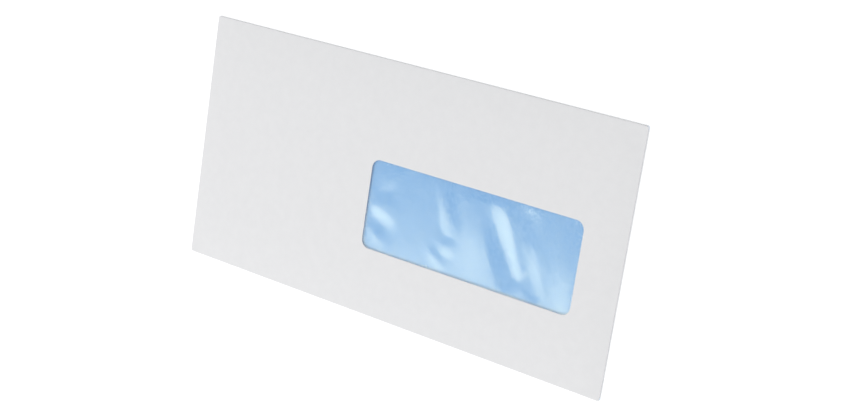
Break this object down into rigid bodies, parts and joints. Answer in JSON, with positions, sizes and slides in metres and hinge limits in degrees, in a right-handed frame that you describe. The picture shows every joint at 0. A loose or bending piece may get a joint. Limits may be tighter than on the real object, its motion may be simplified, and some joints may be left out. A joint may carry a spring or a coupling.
{
  "type": "window envelope",
  "caption": "Long white window envelope folded from one sheet, with clear rippled film behind its window, glued side seams and a closed, unsealed seal flap behind",
  "frame": {"origin": "middle of the underside, on the surface that the closed seal flap's outer face rests on", "axes": "+X along the long side towards the window's end, +Y across the short side towards the fold of the seal flap, +Z out of the front face"},
  "size_m": [0.229, 0.114, 0.0015],
  "materials": {
    "paper": "matte",
    "film": "gloss",
    "adhesive": "matte",
    "gum": "satin"
  },
  "bodies": {
    "root": {"envelope_paper": "paper", "window_film": "film", "window_glue": "adhesive", "seam_glue_left": "adhesive", "seam_glue_right": "adhesive", "flap_gum": "gum"}
  },
  "joints": []
}
